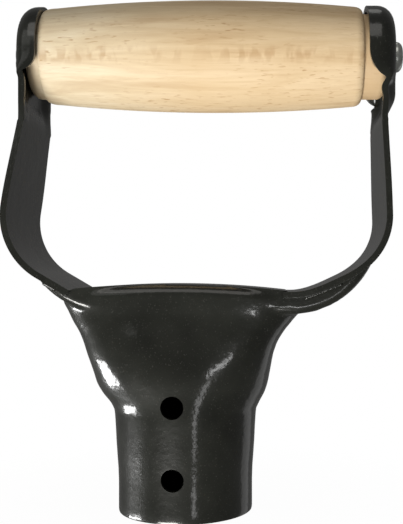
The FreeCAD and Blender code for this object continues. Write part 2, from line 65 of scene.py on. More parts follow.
Point = tuple[float, float, float]
Colour = tuple[float, float, float]
Spot = tuple[float, float]
Curve = tuple[Spot, ...]
Socket = bpy.types.NodeSocket


class Side(Enum):
    """The two sides of the D; the value is the sign of X there."""

    LEFT = -1
    RIGHT = 1


class Edge(Enum):
    """The two edges of an arm; the value is the sign of Y there."""

    FRONT = -1
    REAR = 1


def lerp(low: float, high: float, share: float) -> float:
    """A value between low and high, at share from 0 to 1."""
    return low + (high - low) * share


def smooth_step(low: float, high: float, value: float) -> float:
    """0 below low, 1 above high, and an even S between them."""
    share = min(1.0, max(0.0, (value - low) / (high - low)))
    return share * share * (3 - 2 * share)


def through(knots: Sequence[Spot], value: float) -> float:
    """Read a smooth curve through knots that never overshoots them.

    Args:
        knots: Rising (place, height) pairs.
        value: The place to read.

    Returns:
        The height there, by a monotone cubic.
    """
    if value <= knots[0][0]:
        return knots[0][1]
    if value >= knots[-1][0]:
        return knots[-1][1]
    slopes = [
        (knots[i + 1][1] - knots[i][1]) / (knots[i + 1][0] - knots[i][0])
        for i in range(len(knots) - 1)
    ]
    tangents = [slopes[0]]
    for before, after in zip(slopes, slopes[1:]):
        tangents.append(0.0 if before * after <= 0 else 2 * before * after / (before + after))
    tangents.append(slopes[-1])
    for i in range(len(knots) - 1):
        x0, y0 = knots[i]
        x1, y1 = knots[i + 1]
        if value <= x1:
            span = x1 - x0
            t = (value - x0) / span
            return (
                (2 * t**3 - 3 * t**2 + 1) * y0
                + (t**3 - 2 * t**2 + t) * span * tangents[i]
                + (3 * t**2 - 2 * t**3) * y1
                + (t**3 - t**2) * span * tangents[i + 1]
            )
    return knots[-1][1]


def resample(line: Sequence[Sequence[float]], count: int) -> list[tuple[float, ...]]:
    """Space points evenly along a line.

    Args:
        line: Points of any dimension.
        count: How many points to return, both ends included.

    Returns:
        The evenly spaced points.
    """
    lengths = [0.0]
    for first, second in zip(line, line[1:]):
        lengths.append(lengths[-1] + math.dist(first, second))
    total = lengths[-1]
    result = []
    index = 0
    for step in range(count):
        target = total * step / (count - 1)
        while index < len(line) - 2 and lengths[index + 1] < target:
            index += 1
        span = lengths[index + 1] - lengths[index]
        share = 0.0 if span == 0 else (target - lengths[index]) / span
        share = min(1.0, max(0.0, share))
        result.append(tuple(lerp(a, b, share) for a, b in zip(line[index], line[index + 1])))
    return result


def circle_through(points: Sequence[Spot]) -> tuple[float, float, float]:
    """The circle through three points.

    Args:
        points: Three points of a plane.

    Returns:
        Both coordinates of its centre, and its radius.
    """
    (ax, az), (bx, bz), (cx, cz) = points
    d = 2 * (ax * (bz - cz) + bx * (cz - az) + cx * (az - bz))
    a2, b2, c2 = ax * ax + az * az, bx * bx + bz * bz, cx * cx + cz * cz
    ux = (a2 * (bz - cz) + b2 * (cz - az) + c2 * (az - bz)) / d
    uz = (a2 * (cx - bx) + b2 * (ax - cx) + c2 * (bx - ax)) / d
    return ux, uz, math.dist((ux, uz), points[0])


class Skin:
    """Vertices and faces of one mesh while it is being made."""

    def __init__(self) -> None:
        """Start an empty mesh."""
        self.points: list[Point] = []
        self.faces: list[tuple[int, ...]] = []

    def row(self, points: Iterable[Point]) -> list[int]:
        """Add a row of points in millimetres and return their numbers."""
        first = len(self.points)
        self.points.extend(points)
        return list(range(first, len(self.points)))

    def bridge(self, low: Sequence[int], high: Sequence[int], closed: bool) -> None:
        """Fill the strip between two rows of equal length with quads."""
        count = len(low)
        for i in range(count if closed else count - 1):
            j = (i + 1) % count
            self.faces.append((low[i], low[j], high[j], high[i]))

    def piece(self, name: str, merge: float = 0.001) -> bpy.types.Object:
        """Turn the rows into a smooth-shaded object at the origin.

        Args:
            name: The object's name.
            merge: Distance in millimetres under which points become one.

        Returns:
            The new object, its mesh in metres.
        """
        mesh = bpy.data.meshes.new(name)
        mesh.from_pydata([tuple(c * MM for c in p) for p in self.points], [], self.faces)
        work = bmesh.new()
        work.from_mesh(mesh)
        bmesh.ops.remove_doubles(work, verts=work.verts, dist=merge * MM)
        bmesh.ops.dissolve_degenerate(work, edges=work.edges, dist=merge * MM)
        bmesh.ops.recalc_face_normals(work, faces=work.faces)
        work.to_mesh(mesh)
        work.free()
        item = bpy.data.objects.new(name, mesh)
        bpy.context.scene.collection.objects.link(item)
        for polygon in mesh.polygons:
            polygon.use_smooth = True
        return item


def settle(item: bpy.types.Object) -> None:
    """Apply all modifiers of an object to its mesh."""
    graph = bpy.context.evaluated_depsgraph_get()
    graph.update()
    mesh = bpy.data.meshes.new_from_object(item.evaluated_get(graph))
    item.modifiers.clear()
    item.data = mesh


def mark_sharp(item: bpy.types.Object, degrees: float) -> None:
    """Shade an object smooth, except across edges sharper than an angle."""
    item.data.shade_smooth()
    item.data.set_sharp_from_angle(angle=math.radians(degrees))


class Nodes:
    """A short hand for building the node tree of a material or a world."""

    def __init__(self, owner: "bpy.types.Material | bpy.types.World") -> None:
        """Start an empty tree on its owner."""
        owner.use_nodes = True
        self.tree = owner.node_tree
        self.tree.nodes.clear()

    def add(self, kind: str, *sources: Optional[Socket], **values: object) -> bpy.types.Node:
        """Add a node.

        Args:
            kind: The node's type.
            sources: Sockets for its first inputs; None skips one.
            values: Its properties and input values, with _ for a space in an input's name.

        Returns:
            The new node.
        """
        node = self.tree.nodes.new(kind)
        for key, value in values.items():
            if hasattr(node, key):
                setattr(node, key, value)
            else:
                node.inputs[key.replace("_", " ")].default_value = value
        for place, source in zip(node.inputs, sources):
            if source is not None:
                self.link(source, place)
        return node

    def link(self, source: Socket, target: Socket) -> None:
        """Join two sockets."""
        self.tree.links.new(source, target)


class Finish(Nodes):
    """The node tree of one procedural finish, with a Principled shader."""

    def __init__(self, name: str) -> None:
        """Start a material with the shader wired to its output."""
        self.material = bpy.data.materials.new(name)
        super().__init__(self.material)
        self.shader = self.add("ShaderNodeBsdfPrincipled")
        self.add("ShaderNodeOutputMaterial", self.shader.outputs["BSDF"])

    def feed(self, **values: "Socket | float") -> None:
        """Link sockets, or set plain values, on the shader's inputs."""
        for key, value in values.items():
            target = self.shader.inputs[key.replace("_", " ")]
            if isinstance(value, Socket):
                self.link(value, target)
            else:
                target.default_value = value

    def place(self, scale: Point = (1.0, 1.0, 1.0), shift: Point = (0, 0, 0)) -> Socket:
        """Object coordinates, stretched and shifted."""
        coordinates = self.add("ShaderNodeTexCoord").outputs["Object"]
        mapping = self.add("ShaderNodeMapping", coordinates, Scale=scale, Location=shift)
        return mapping.outputs["Vector"]

    def noise(
        self,
        scale: float,
        vector: Socket,
        detail: float = 2.0,
        roughness: float = 0.5,
        distortion: float = 0.0,
    ) -> Socket:
        """A noise pattern's value."""
        node = self.add(
            "ShaderNodeTexNoise", vector,
            Scale=scale, Detail=detail, Roughness=roughness, Distortion=distortion,
        )
        return node.outputs["Fac"]

    def ramp(self, value: Socket, stops: Sequence[tuple[float, Colour]]) -> Socket:
        """Colours by value, from (place, colour) stops."""
        node = self.add("ShaderNodeValToRGB", value)
        band = node.color_ramp
        while len(band.elements) < len(stops):
            band.elements.new(0.5)
        for element, (place, colour) in zip(band.elements, stops):
            element.position = place
            element.color = (*colour, 1.0)
        return node.outputs["Color"]

    def grey(self, value: Socket, low: float, high: float, out: Spot) -> Socket:
        """Stretch a value from low..high to the out range, clamped."""
        node = self.add(
            "ShaderNodeMapRange", value,
            From_Min=low, From_Max=high, To_Min=out[0], To_Max=out[1],
        )
        return node.outputs["Result"]

    def times(self, first: Socket, second: Socket) -> Socket:
        """The product of two values."""
        return self.add("ShaderNodeMath", first, second, operation="MULTIPLY").outputs[0]

    def mix(self, share: Socket, base: Socket, colour: Colour, blend: str = "MIX") -> Socket:
        """Blend a plain colour into another one by a value."""
        node = self.add("ShaderNodeMix", data_type="RGBA", blend_type=blend)
        self.link(share, node.inputs["Factor"])
        self.link(base, node.inputs[6])
        node.inputs[7].default_value = (*colour, 1.0)
        return node.outputs[2]

    def bump(self, height: Socket, depth_mm: float, after: Optional[Socket] = None) -> Socket:
        """A bumped normal, as deep as given in millimetres."""
        node = self.add("ShaderNodeBump", Strength=1.0, Distance=depth_mm * MM)
        self.link(height, node.inputs["Height"])
        if after is not None:
            self.link(after, node.inputs["Normal"])
        return node.outputs["Normal"]


@dataclass(frozen=True)
class StovePaint:
    """Thick glossy graphite-black paint with an orange-peel surface."""

    dark: Colour = (0.0085, 0.0092, 0.0070)
    pale: Colour = (0.0160, 0.0170, 0.0135)
    fleck: Colour = (0.035, 0.035, 0.031)
    roughness: float = 0.36
    coat_roughness: float = 0.13
    coat_ior: float = 1.5
    base_shine: float = 0.15
    cloud_size: float = 55.0
    peel_size: float = 620.0
    peel_depth: float = 0.055
    wave_size: float = 173.6
    wave_depth: float = 0.060
    grit_size: float = 2300.0
    grit_depth: float = 0.014

    def material(self, name: str = "stove_paint") -> bpy.types.Material:
        """Build the paint's material."""
        nodes = Finish(name)
        place = nodes.place()
        cloud = nodes.noise(self.cloud_size, place, 3.0, 0.6)
        grain = nodes.noise(self.grit_size, place, 1.0, 0.4)
        tone = nodes.ramp(cloud, [(0.35, self.dark), (0.68, self.pale)])
        colour = nodes.mix(nodes.grey(grain, 0.66, 0.74, (0.0, 1.0)), tone, self.fleck)
        normal = nodes.bump(nodes.noise(self.wave_size, place, 1.0, 0.5), self.wave_depth)
        peel = nodes.noise(self.peel_size, place, 2.5, 0.45)
        normal = nodes.bump(peel, self.peel_depth, normal)
        nodes.feed(
            Base_Color=colour,
            Roughness=nodes.grey(cloud, 0.3, 0.7, (self.roughness - 0.05, self.roughness + 0.06)),
            Normal=nodes.bump(grain, self.grit_depth, normal),
            Coat_Normal=normal,
            Coat_Weight=1.0,
            Coat_Roughness=self.coat_roughness,
            Coat_IOR=self.coat_ior,
            Specular_IOR_Level=self.base_shine,
        )
        return nodes.material


@dataclass(frozen=True)
class BeechWood:
    """Bare sanded beech, its grain along X, with short dark ray flecks.

    Attributes:
        ray_height: Height in metres of the band of ray marks along the front.
        ray_band: How far the band fades out to each side, in metres.
        spigots: X in metres where the darker left and right end begin.
        painted_right_shade: X in metres between which painted shade, a warm darker tint, comes in.
    """

    cream: Colour = (0.88, 0.76, 0.56)
    straw: Colour = (0.82, 0.69, 0.48)
    tan: Colour = (0.70, 0.55, 0.36)
    fleck: Colour = (0.52, 0.33, 0.17)
    # Tint of the painted shade that darkens the bar towards +X.
    painted_shade_tint: Colour = (0.92, 0.80, 0.66)
    ray_height: float = 0.1345
    ray_band: float = 0.003
    spigots: Spot = (-0.0428, 0.0530)
    spigot_fade: float = 0.0012
    painted_right_shade: Spot = (-0.035, 0.005)
    roughness: float = 0.55
    shine: float = 0.32

    def colour(self, nodes: Finish, fibre: Socket) -> Socket:
        """Lay the rings, fibres, flecks and ray marks over each other."""
        rings = nodes.noise(26.0, nodes.place((1.0, 9.0, 9.0)), 4.0, 0.55, 0.6)
        base = nodes.ramp(
            rings, [(0.30, self.tan), (0.46, self.straw), (0.62, self.cream), (0.8, self.straw)]
        )
        base = nodes.mix(nodes.grey(fibre, 0.35, 0.72, (0.0, 0.35)), base, self.tan)
        dashes = nodes.noise(330.0, nodes.place((1.0, 5.0, 5.0), (0.7, 0.3, 0.9)), 1.0, 0.4)
        patch = nodes.noise(38.0, nodes.place((1.0, 2.4, 2.4), (0.2, 0.5, 0.1)))
        marks = nodes.times(
            nodes.grey(dashes, 0.62, 0.72, (0.0, 0.75)), nodes.grey(patch, 0.42, 0.62, (0.15, 1.0))
        )
        base = nodes.mix(marks, base, self.fleck)
        lines = nodes.noise(70.0, nodes.place((0.5, 22.0, 22.0), (0.4, 0.2, 0.6)))
        base = nodes.mix(nodes.grey(lines, 0.58, 0.66, (0.0, 0.3)), base, self.tan)
        split = nodes.add("ShaderNodeSeparateXYZ", nodes.place()).outputs
        rays = nodes.noise(330.0, nodes.place((1.0, 0.4, 0.4), (0.9, 0.4, 0.3)))
        middle, band = self.ray_height, self.ray_band
        shown = nodes.times(
            nodes.grey(split["Z"], middle - band, middle, (0, 1)),
            nodes.grey(split["Z"], middle, middle + band, (1, 0)),
        )
        shown = nodes.times(nodes.grey(rays, 0.5, 0.6, (0.0, 0.5)), shown)
        shown = nodes.times(shown, nodes.grey(patch, 0.3, 0.45, (0.2, 1.0)))
        base = nodes.mix(shown, base, self.fleck)
        left, right = self.spigots
        for low, high, ends in (
            (right, right + self.spigot_fade, (0.0, 0.75)),
            (left - self.spigot_fade, left, (0.75, 0.0)),
        ):
            base = nodes.mix(nodes.grey(split["X"], low, high, ends), base, self.tan)
        # Painted shade: the bar turns warmer and darker towards +X, standing in for less light
        # there.
        painted_right_shade = nodes.grey(split["X"], *self.painted_right_shade, (0.0, 0.8))
        return nodes.mix(painted_right_shade, base, self.painted_shade_tint, "MULTIPLY")

    def material(self, name: str = "beech") -> bpy.types.Material:
        """Build the wood's material."""
        nodes = Finish(name)
        fibre = nodes.noise(42.0, nodes.place((1.0, 26.0, 26.0), (0.3, 0.1, 0.2)), 3.0, 0.6, 0.2)
        pores = nodes.noise(900.0, nodes.place((0.35, 3.0, 3.0)))
        nodes.feed(
            Base_Color=self.colour(nodes, fibre),
            Roughness=nodes.grey(fibre, 0.3, 0.7, (self.roughness - 0.06, self.roughness + 0.08)),
            Normal=nodes.bump(fibre, 0.02, nodes.bump(pores, 0.012)),
            Specular_IOR_Level=self.shine,
        )
        return nodes.material


@dataclass(frozen=True)
class ZincPlate:
    """Zinc-plated steel with a soft cloudy grey."""

    pale: Colour = (0.80, 0.82, 0.78)
    dull: Colour = (0.60, 0.62, 0.58)
    roughness: float = 0.3
    cloud_size: float = 420.0
    dent_size: float = 900.0
    dent_depth: float = 0.006

    def material(self, name: str = "zinc_plate") -> bpy.types.Material:
        """Build the plating's material."""
        nodes = Finish(name)
        place = nodes.place()
        cloud = nodes.noise(self.cloud_size, place, 4.0, 0.6)
        nodes.feed(
            Base_Color=nodes.ramp(cloud, [(0.35, self.dull), (0.65, self.pale)]),
            Roughness=nodes.grey(cloud, 0.3, 0.7, (self.roughness - 0.08, self.roughness + 0.12)),
            Normal=nodes.bump(nodes.noise(self.dent_size, place), self.dent_depth),
            Metallic=1.0,
        )
        return nodes.material


@dataclass(frozen=True)
class ArmLine:
    """The line of one arm's outside in the XZ plane, from the bridge to its cup.

    Attributes:
        side: Which arm.
        dip: X and height where the strip leaves the bridge.
        corner: How far the corner lies outside the cup's face, and its height.
        corner_radius: Bend radius of that corner.
        neck_inset: How far the neck lies inside the cup's face.
        face: X of the cup's face, unsigned.
        axis: Height of the grip's axis.
        neck_drop: How far below the axis the neck is.
        joggle_drop: How far below the axis the strip is out at the cup's face again.
        joggle_radius: Bend radius of both.
        sag: How far the lower run hangs below its straight line.
        sag_end: How far inside the cup's face the sag ends.
        sag_top: How far above the corner it ends.
        hidden: How far the strip goes on inside the bridge.
    """

    side: Side
    dip: Spot
    corner: Spot
    corner_radius: float
    neck_inset: float
    face: float
    axis: float
    neck_drop: float = 20.5
    joggle_drop: float = 14.6
    joggle_radius: float = 8.0
    sag: float = 0.0
    sag_end: float = 8.0
    sag_top: float = 6.0
    hidden: float = 0.0
    bend_steps: int = 24

    def outside(self) -> list[Spot]:
        """Points (unsigned X, Z) from inside the bridge up to the level of the axis."""
        corners = [
            (self.dip, 0.0),
            ((self.face + self.corner[0], self.corner[1]), self.corner_radius),
            ((self.face - self.neck_inset, self.axis - self.neck_drop), self.joggle_radius),
            ((self.face, self.axis - self.joggle_drop), self.joggle_radius),
            ((self.face, self.axis), 0.0),
        ]
        line = [corners[0][0]]
        for index in range(1, len(corners) - 1):
            (cx, cz), radius = corners[index]
            bx, bz = corners[index - 1][0]
            ax, az = corners[index + 1][0]
            before = Vector((bx - cx, bz - cz)).normalized()
            after = Vector((ax - cx, az - cz)).normalized()
            half_turn = (math.pi - before.angle(after)) / 2
            reach = radius * math.tan(half_turn)
            start = Vector((cx, cz)) + before * reach
            end = Vector((cx, cz)) + after * reach
            hub = Vector((cx, cz)) + (before + after).normalized() * radius / math.cos(half_turn)
            for step in range(self.bend_steps + 1):
                share = step / self.bend_steps
                spoke = (start - hub).lerp(end - hub, share).normalized() * radius
                line.append(tuple(hub + spoke))
        line.append(corners[-1][0])
        return self.sagged(line)

    def sagged(self, line: Sequence[Spot]) -> list[Spot]:
        """Let the lower run leave the bridge level and hang a little."""
        start, end = self.dip[0], self.face - self.sag_end
        top = self.corner[1] + self.sag_top
        hung = [(start - self.hidden, self.dip[1])] if self.hidden else []
        for x, z in resample(line[:2], self.bend_steps) + list(line[2:]):
            share = min(1.0, max(0.0, (x - start) / (end - start)))
            drop = self.sag * FULL_SAG * share * (1 - share) ** 2 if z < top else 0.0
            hung.append((x, z - drop))
        return hung

    def underside(self, reach: float) -> float:
        """Height of the strip's outside at an unsigned X on its lower run."""
        line = self.outside()
        for (x0, z0), (x1, z1) in zip(line, line[1:]):
            if x1 < x0:
                break
            if reach <= x1:
                return lerp(z0, z1, (reach - x0) / (x1 - x0)) if x1 > x0 else z1
        return line[-1][1]


@dataclass
class Arm:
    """One strip arm, bent in from the bridge and drawn into a cup round the grip's end.

    Every row is a half section: out along the outside from the spine to the rim, and back
    along the inside. Rows run from the bridge up to the axis and then over the arch.

    Attributes:
        line: The line of the strip's outside.
        cup_depth: How far in the cup's rim reaches.
        skirt_drops: How far below the axis the front and the rear skirt end.
        skirt_round: Height of the curve that ends each skirt.
        paint: The arm's material.
        sheet: Thickness of the strip.
        half_width: Half the strip's width at the bridge.
        cup_radius: Radius of the cup.
        cup_round: Radius of the round between the cup's face and its rim.
        taper_drop: How far below the axis the strip starts to narrow.
        taper_ease: How far the taper runs past both its ends.
        arch_squash: The arch's height as a share of the cup's radius.
        inset_ends: Where, out from the spine, an edge starts and ends to move in.
        inset_rise: How far below and above the skirt's end the edge comes out again.
        turn_rise: How far below and above the skirt's end the rim turns in.
        sheared: Radius of the sheared edges' round.
    """

    line: ArmLine
    cup_depth: float
    skirt_drops: dict[Edge, float]
    skirt_round: float
    paint: bpy.types.Material
    sheet: float = 1.8
    half_width: float = 19.0
    cup_radius: float = 15.6
    cup_round: float = 5.0
    taper_drop: float = 42.0
    taper_ease: float = 3.0
    arch_squash: float = 0.97
    inset_ends: Spot = (9.0, 14.5)
    inset_rise: Spot = (3.2, 2.5)
    turn_rise: Spot = (1.5, 5.0)
    sheared: float = 0.8
    flat_columns: int = 14
    bend_columns: int = 9
    rim_columns: int = 4
    arch_rows: int = 48
    path_rows: int = 170

    def width_at(self, height: float) -> float:
        """Half the strip's width at a height."""
        low = self.line.axis - self.taper_drop - self.taper_ease
        high = self.line.axis - self.line.neck_drop + self.taper_ease
        share = smooth_step(low, high, height)
        return lerp(self.half_width, self.cup_radius, share)

    def edge_inset(self, edge: Edge, x: float, height: float) -> float:
        """How much further in than the spine an edge lies, just below its skirt."""
        stop = self.line.axis - self.skirt_drops[edge]
        if height < self.line.axis - self.line.neck_drop - 1:
            return 0.0
        below, above = self.inset_rise
        own = self.line.neck_inset * (1 - smooth_step(stop - below, stop + above, height))
        return max(0.0, own - (self.line.face - x))

    def section(self, edge: Edge, x: float, height: float) -> list[Spot]:
        """Distance from the spine and depth inwards, round one half section.

        Args:
            edge: Which half.
            x: Unsigned X of the strip's outside at this row.
            height: The row's height.

        Returns:
            Points from the outside's spine round the rim to the inside's spine.
        """
        stop = self.line.axis - self.skirt_drops[edge]
        turned = smooth_step(stop - self.turn_rise[0], stop + self.turn_rise[1], height)
        width = self.width_at(height)
        inset = self.edge_inset(edge, x, height)
        short = min(1.0, max(0.0, stop + self.skirt_round - height) / self.skirt_round)
        foot = inset + self.sheet + 0.3 * turned
        rim = foot if short >= 1 else lerp(foot, self.cup_depth, math.sqrt(1 - short**2.2))
        flat_end = width - self.cup_round
        inner_round = self.cup_round - self.sheet * turned

        def pull(across: float) -> float:
            """How far in the sheet lies at a distance from the spine."""
            return inset * smooth_step(*self.inset_ends, across)

        outside, inside = [], []
        for index in range(self.flat_columns):
            across = flat_end * index / self.flat_columns
            outside.append((across, pull(across)))
            inside.append((across, pull(across) + self.sheet))
        for index in range(self.bend_columns):
            turn = math.pi / 2 * index / (self.bend_columns - 1)
            out = flat_end + self.cup_round * math.sin(turn)
            deep = self.cup_round * turned * (1 - math.cos(turn))
            outside.append((out, pull(out) + deep))
            back = flat_end + inner_round * math.sin(turn)
            less = (self.cup_round - self.sheet) * turned * (1 - math.cos(turn))
            inside.append((back, pull(back) + self.sheet + less))
        outer_end, inner_end = outside[-1], inside[-1]
        rim = max(rim, outer_end[1])
        inner_rim = max(rim, inner_end[1])
        for index in range(1, self.rim_columns + 1):
            share = index / self.rim_columns
            outside.append((outer_end[0], lerp(outer_end[1], rim, share)))
            inside.append((inner_end[0], lerp(inner_end[1], inner_rim, share)))
        return outside + inside[::-1]

    def strip_rows(self, edge: Edge) -> Iterable[list[Point]]:
        """Every row of one half, from the bridge up to the axis and over the arch."""
        sign, axis = self.line.side.value, self.line.axis
        path = resample(self.line.outside(), self.path_rows)
        for index, (x, z) in enumerate(path):
            ahead = path[min(index + 1, len(path) - 1)]
            behind = path[max(index - 1, 0)]
            run = Vector((ahead[0] - behind[0], ahead[1] - behind[1])).normalized()
            yield [
                (sign * (x - run.y * deep), edge.value * across, z + run.x * deep)
                for across, deep in self.section(edge, x, z)
            ]
        spots = self.section(edge, self.line.face, axis)
        for step in range(1, self.arch_rows + 1):
            turn = math.pi / 2 * step / self.arch_rows
            rise = math.sin(turn) * lerp(1.0, self.arch_squash, math.sin(turn))
            yield [
                (
                    sign * (self.line.face - deep),
                    edge.value * reach * math.cos(turn),
                    axis + reach * rise,
                )
                for reach, deep in spots
            ]

    def build(self) -> bpy.types.Object:
        """Make the arm and set it in place of its CAD node."""
        name = self.line.side.name.lower() + "_arm"
        skin = Skin()
        for edge in Edge:
            rows = [skin.row(points) for points in self.strip_rows(edge)]
            half = len(rows[0]) // 2
            skin.bridge(rows[0][:half], rows[0][half:][::-1], False)
            for low, high in zip(rows, rows[1:]):
                skin.bridge(low, high, False)
        item = skin.piece(name + "_visual", merge=0.003)
        bevel = item.modifiers.new("sheared_edge", "BEVEL")
        bevel.width = self.sheared * MM
        bevel.segments = 4
        bevel.limit_method = "ANGLE"
        bevel.angle_limit = math.radians(55)
        settle(item)
        mark_sharp(item, 50)
        item.data.materials.clear()
        item.data.materials.append(self.paint)
        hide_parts(name)
        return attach(item, "frame")


@dataclass(frozen=True)
class Ear:
    """The bulge of the shell that carries one arm: its underside is a circle's arc.

    Attributes:
        root: Unsigned X and Z where the arc leaves the fan.
        belly: A point half way along it.
        tip: Where it runs out under the strip.
        half_depth: Half the ear's size along Y.
        corner: Radius between its underside and its faces.
        tip_room: How far beyond the tip's X it may reach.
    """

    root: Spot
    belly: Spot
    tip: Spot
    half_depth: float = 16.0
    corner: float = 2.2
    tip_room: float = 1.5

    @cached_property
    def hub(self) -> tuple[float, float, float]:
        """Centre (unsigned X, Z) and radius of the underside's circle."""
        return circle_through((self.root, self.belly, self.tip))

    def outside(self, x: float, y: float, z: float) -> float:
        """How far a point lies outside the ear, negative inside."""
        hub_x, hub_z, radius = self.hub
        under = math.dist((abs(x), z), (hub_x, hub_z)) - radius
        under = max(under, abs(x) - self.tip[0] - self.tip_room)
        flat = abs(y) - self.half_depth
        across, deep = max(under + self.corner, 0.0), max(flat + self.corner, 0.0)
        return math.hypot(across, deep) - self.corner + min(0.0, max(under, flat) + self.corner)


@dataclass
class FrameShell:
    """The pressed shell: socket, shoulder, flaring fan, rolled bridge and two ears.

    Every ring is found along rays from the shaft's axis, where a smooth blend of the fan
    and the ears crosses zero. Rings are level up to the fan and bend with the bridge above.

    Attributes:
        arms: The lines of the arms, which the top follows beyond the bridge.
        ears: The two ears.
        paint: The shell's material.
        crown: Height of the bridge's top.
        wall: Thickness of the wall.
        lip: Radius of the bridge's rolled edges.
        lip_ends: Unsigned X between which the rolled edge runs out.
        lid_rise: How far the bridge stands above an arm's outside at the dip.
        lid_fade: How far to each side of the dip the top changes over.
        overlap: How far the ears reach into the arms' strips.
        blend: Width of the soft corner between the fan and the ears.
        rolled_from: Height above which the rolled edge matters.
        ears_from: Height above which the ears matter.
        mouth_round: How much the mouth's edge is rounded, outside and inside.
        mouth_rise: How far up the mouth's rounding reaches.
        first_bent: Height of the last level ring.
        bent_rows: How many rings follow it.
        crowding: How much they crowd towards the top.
        columns: Points round one ring.
        reach: Nearest and farthest distance that is searched for the surface.
        table_steps: Steps per millimetre in the table of the top's height.
        socket_widths: Half the width by height, on both sides.
        left_widths: The same above the socket, at the left.
        right_widths: The same at the right.
        half_depths: Half the depth by height.
        squareness: Power of the ring's outline by height; 2 is an ellipse.
    """

    arms: dict[Side, ArmLine]
    ears: dict[Side, Ear]
    paint: bpy.types.Material
    crown: float
    wall: float = 2.0
    lip: float = 3.4
    lip_ends: Spot = (29.0, 32.5)
    lid_rise: float = 1.85
    lid_fade: float = 1.2
    overlap: float = 0.15
    blend: float = 0.7
    rolled_from: float = 58.0
    ears_from: float = 52.0
    mouth_round: Spot = (0.15, 0.3)
    mouth_rise: float = 0.8
    first_bent: float = 50.0
    bent_rows: int = 34
    crowding: float = 1.35
    columns: int = 288
    reach: Spot = (5.0, 80.0)
    table_steps: int = 10
    socket_widths: Curve = ((0.0, 20.2), (9.0, 20.2), (20.0, 20.85), (30.0, 21.45), (32.3, 22.4))
    left_widths: Curve = (
        (35.6, 25.0), (38.8, 26.7), (41.9, 27.5), (48.0, 29.3), (51.0, 30.2), (54.1, 31.5),
        (57.1, 33.3), (60.2, 34.8), (63.3, 36.2), (70.3, 36.6),
    )
    right_widths: Curve = (
        (35.8, 24.2), (38.8, 25.1), (41.9, 25.7), (48.0, 26.9), (51.0, 28.1), (54.1, 30.0),
        (57.1, 32.4), (60.2, 34.8), (63.3, 35.8), (70.3, 36.0),
    )
    half_depths: Curve = (
        (0.0, 20.2), (9.0, 20.2), (20.0, 20.85), (30.5, 21.5), (38.5, 21.5), (51.5, 19.75),
        (60.0, 18.1), (70.3, 18.0),
    )
    squareness: Curve = (
        (0.0, 2.0), (33.5, 2.0), (38.0, 2.15), (44.0, 2.6), (49.0, 3.0), (60.0, 3.3),
        (70.3, 3.6),
    )

    def __post_init__(self) -> None:
        """Join the sides' curves and read the top's height once at every table step."""
        self.half_widths = {
            Side.LEFT: self.socket_widths + self.left_widths,
            Side.RIGHT: self.socket_widths + self.right_widths,
        }
        count, far = self.table_steps, self.reach[1]
        self.tops = [self.measure_top(i / count - far) for i in range(int(2 * far * count) + 1)]

    def top_at(self, x: float) -> float:
        """Height of the bridge or of an arm's underside at X."""
        place = (x + self.reach[1]) * self.table_steps
        place = min(len(self.tops) - 2.0, max(0.0, place))
        index = int(place)
        return lerp(self.tops[index], self.tops[index + 1], place - index)

    def measure_top(self, x: float) -> float:
        """Work out the top's height from the arms' lines and the bridge's arc."""
        line = self.arms[Side.RIGHT if x > 0 else Side.LEFT]
        reach = abs(x)
        left, right = self.arms[Side.LEFT].dip, self.arms[Side.RIGHT].dip
        lid_x = min(right[0], max(-left[0], x))
        ends = [(-left[0], left[1] + self.lid_rise), (right[0], right[1] + self.lid_rise)]
        hub_x, hub_z, radius = circle_through([ends[0], (0.0, self.crown), ends[1]])
        lid = hub_z + math.sqrt(max(0.0, radius * radius - (lid_x - hub_x) ** 2))
        share = smooth_step(line.dip[0] - self.lid_fade, line.dip[0] + self.lid_fade, reach)
        return lerp(lid, line.underside(max(reach, line.dip[0])) + self.overlap, share)

    def spoke(self, turn: float, wide: float) -> Vector:
        """Direction of a ray in the XY plane, spread along X by wide."""
        return Vector((math.cos(turn) * wide, -math.sin(turn))).normalized()

    def outside(self, x: float, y: float, z: float, inset: float = 0.0) -> float:
        """About how far a point lies outside the shell's surface, negative inside."""
        side = Side.RIGHT if x > 0 else Side.LEFT
        half_width = through(self.half_widths[side], z) - inset
        half_depth = through(self.half_depths, z) - inset
        power = through(self.squareness, z)
        below = self.top_at(x) - z if z > self.rolled_from else self.lip
        if below < self.lip:
            short = self.lip - max(0.0, below)
            share = 1 - smooth_step(*self.lip_ends, abs(x))
            half_depth -= share * (self.lip - math.sqrt(self.lip**2 - short**2))
        fan = (abs(x / half_width) ** power + abs(y / half_depth) ** power) ** (1 / power)
        fan = (fan - 1) * math.hypot(x, y) / max(fan, 1e-6)
        if z < self.ears_from:
            return fan
        ear = self.ears[side].outside(x, y, z)
        mix = min(1.0, max(0.0, 0.5 + (ear - fan) / (2 * self.blend)))
        return lerp(ear, fan, mix) - self.blend * mix * (1 - mix)

    def ring(self, height: float, bent: float, inset: float = 0.0) -> list[Point]:
        """Half a ring, from +X over the front to -X, level or bent towards the top."""
        points = []
        half = self.columns // 2
        wide = lerp(1.0, 1.9, smooth_step(31, 50, height))
        wide = lerp(wide, 3.0, smooth_step(0.0, 0.35, bent))
        for index in range(half + 1):
            spoke = self.spoke(math.pi * index / half, wide)
            low, high = self.reach
            for _ in range(24):
                reach = (low + high) / 2
                x, y = spoke.x * reach, spoke.y * reach
                z = lerp(height, self.top_at(x), bent)
                if self.outside(x, y, z, inset) < 0:
                    low = reach
                else:
                    high = reach
            points.append((x, y, z))
        return points

    def bore_ring(self, height: float, inset: float) -> list[Point]:
        """A whole level ring of the socket's inside."""
        points = []
        wide = lerp(1.0, 1.6, smooth_step(31, 50, height))
        power = through(self.squareness, height)
        half_depth = through(self.half_depths, height) - inset
        for index in range(self.columns):
            spoke = self.spoke(2 * math.pi * index / self.columns, wide)
            side = Side.RIGHT if spoke.x > 0 else Side.LEFT
            half_width = through(self.half_widths[side], height) - inset
            reach = abs(spoke.x / half_width) ** power + abs(spoke.y / half_depth) ** power
            reach **= -1 / power
            points.append((spoke.x * reach, spoke.y * reach, height))
        return points

